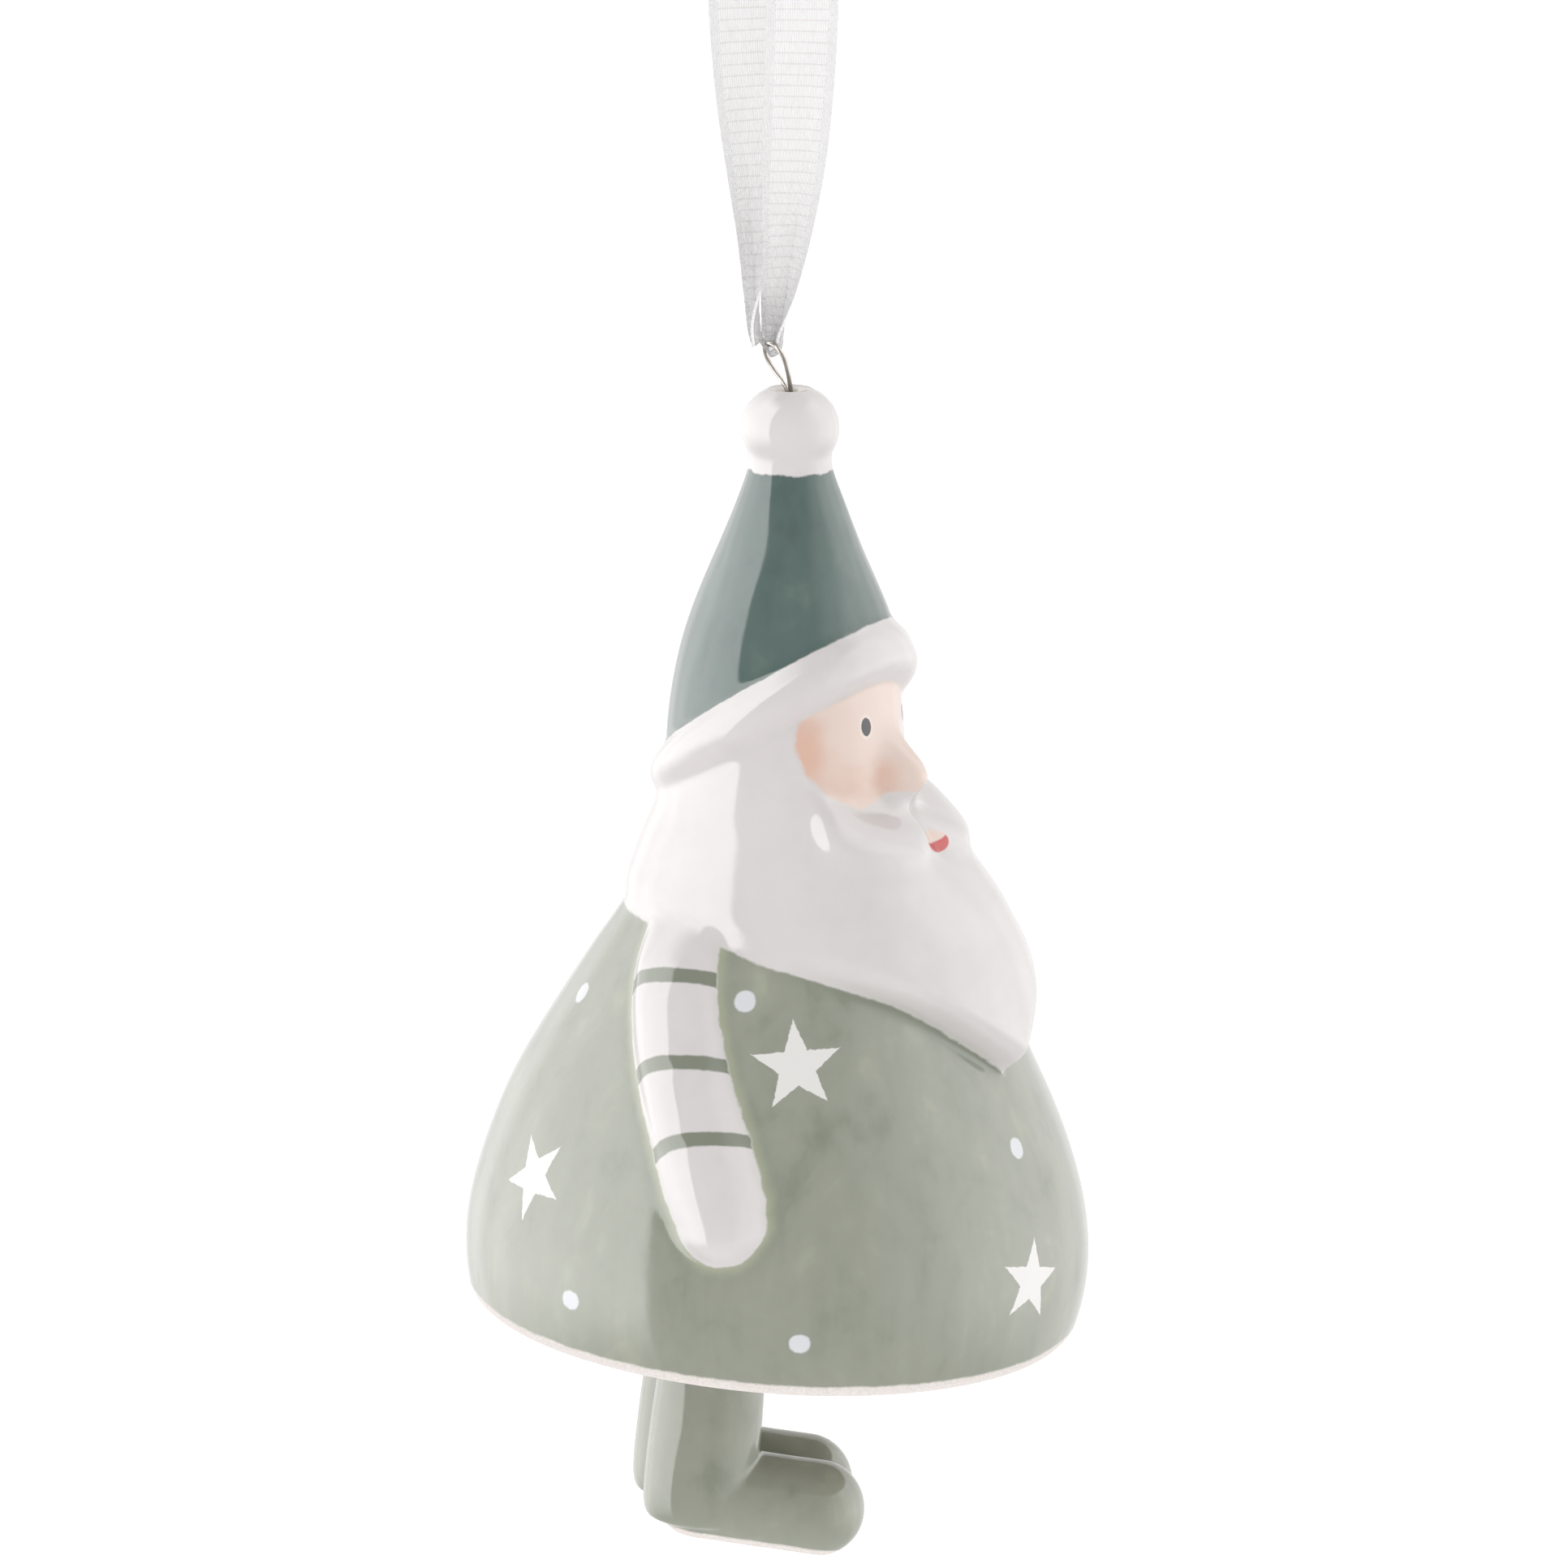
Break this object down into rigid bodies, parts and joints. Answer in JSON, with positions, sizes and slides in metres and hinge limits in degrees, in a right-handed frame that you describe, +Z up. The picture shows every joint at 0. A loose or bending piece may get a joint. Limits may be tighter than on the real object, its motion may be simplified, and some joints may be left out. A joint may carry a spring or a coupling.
{
  "type": "hanging bell gnome ornament",
  "caption": "Hanging glazed ceramic bell shaped as a bearded gnome in a pointed hat, with booted legs as its clapper, on a wire eye and ribbon loop.",
  "frame": {"origin": "the hanging point, inside the top of the ribbon loop", "axes": "+Z up, the figure faces -Y and its own right hand is at -X"},
  "size_m": [0.0526, 0.0526, 0.1692],
  "materials": {
    "body_glaze": "clear gloss glaze over sage green, white and teal brushwork",
    "leg_glaze": "gloss sage glaze, bare soles",
    "steel_wire": "drawn steel wire",
    "bead_wood": "plain turned wood",
    "grosgrain": "white ribbed grosgrain ribbon"
  },
  "bodies": {
    "ribbon": {"ribbon_front": "grosgrain", "ribbon_back": "grosgrain", "ribbon_knot": "grosgrain"},
    "hanger": {"hanger_wire": "steel_wire", "stop_bead": "bead_wood"},
    "bell": {"bell_shell": "body_glaze"},
    "link": {"clapper_link": "steel_wire"},
    "legs": {"leg_pair": "leg_glaze"}
  },
  "joints": [
    {"name": "eye_swing", "type": "hinge", "parent": "ribbon", "child": "hanger", "pos_m": [-0.00078, 0.00147, -0.04975], "axis": [0.8688, -0.4952, 0], "range_deg": [-16, 16]},
    {"name": "bell_turn", "type": "hinge", "parent": "hanger", "child": "bell", "pos_m": [0, 0, -0.0613], "axis": [0, 0, 1], "continuous": true},
    {"name": "link_swing", "type": "hinge", "parent": "hanger", "child": "link", "pos_m": [0, 0.006, -0.10405], "axis": [0.5736, -0.8192, 0], "range_deg": [-8, 8]},
    {"name": "leg_swing", "type": "hinge", "parent": "link", "child": "legs", "pos_m": [0, 0.006, -0.1113], "axis": [0.8192, 0.5736, 0], "range_deg": [-11, 11]}
  ]
}
